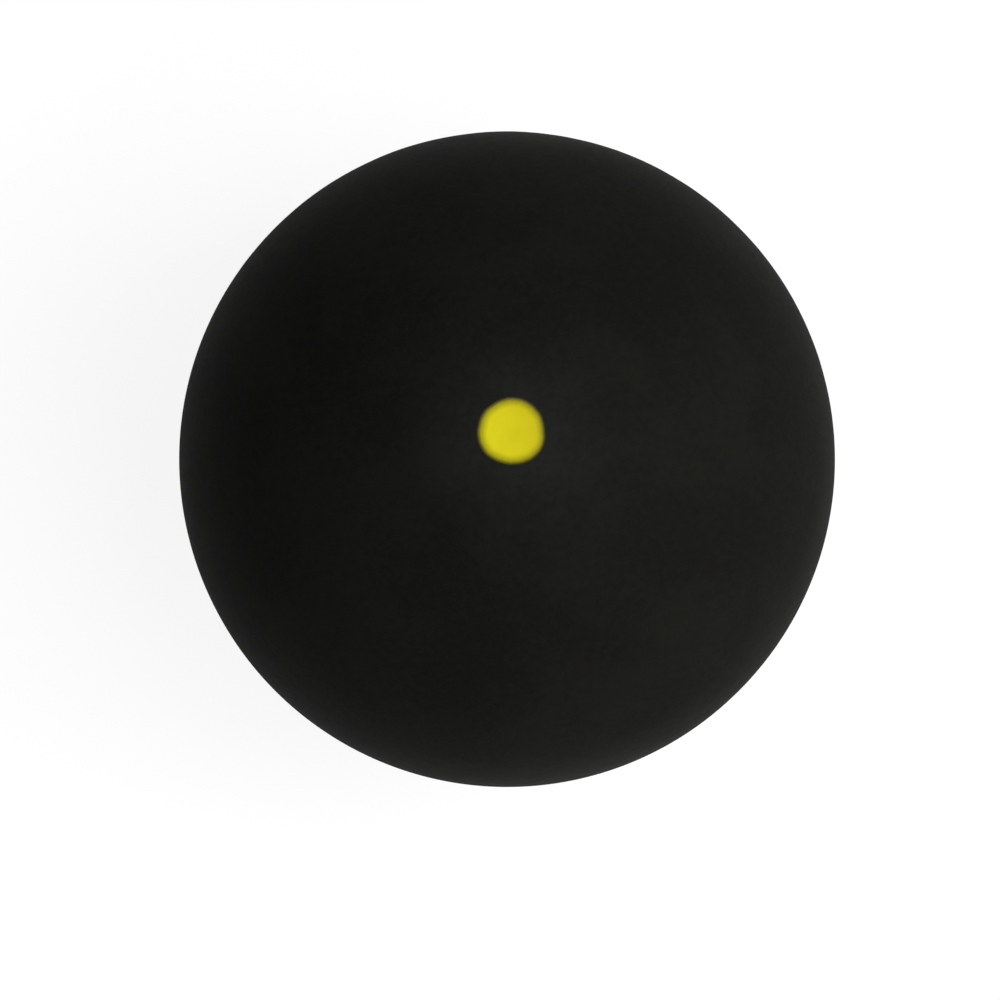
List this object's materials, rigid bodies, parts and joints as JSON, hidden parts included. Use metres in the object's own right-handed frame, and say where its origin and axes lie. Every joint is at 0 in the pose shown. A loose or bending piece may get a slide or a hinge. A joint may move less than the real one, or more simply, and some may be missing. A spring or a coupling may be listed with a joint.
{
  "type": "squash ball",
  "caption": "Hollow matt black rubber ball for squash, moulded as half shells that are cemented together at an equator seam, with a yellow speed dot printed at the pole.",
  "frame": {"origin": "centre of the ball", "axes": "+Z out through the middle of the yellow dot, along the axis that both half shells are turned about; the seam lies in the XY plane, and X and Y are free, because the ball is round about Z"},
  "size_m": [0.038, 0.038, 0.038],
  "materials": {
    "shell_rubber": "matte",
    "seam_cement": "matte",
    "dot_ink": "satin"
  },
  "bodies": {
    "root": {"upper_half_shell": "shell_rubber", "lower_half_shell": "shell_rubber", "seam_cement": "seam_cement", "yellow_dot": "dot_ink"}
  },
  "joints": []
}
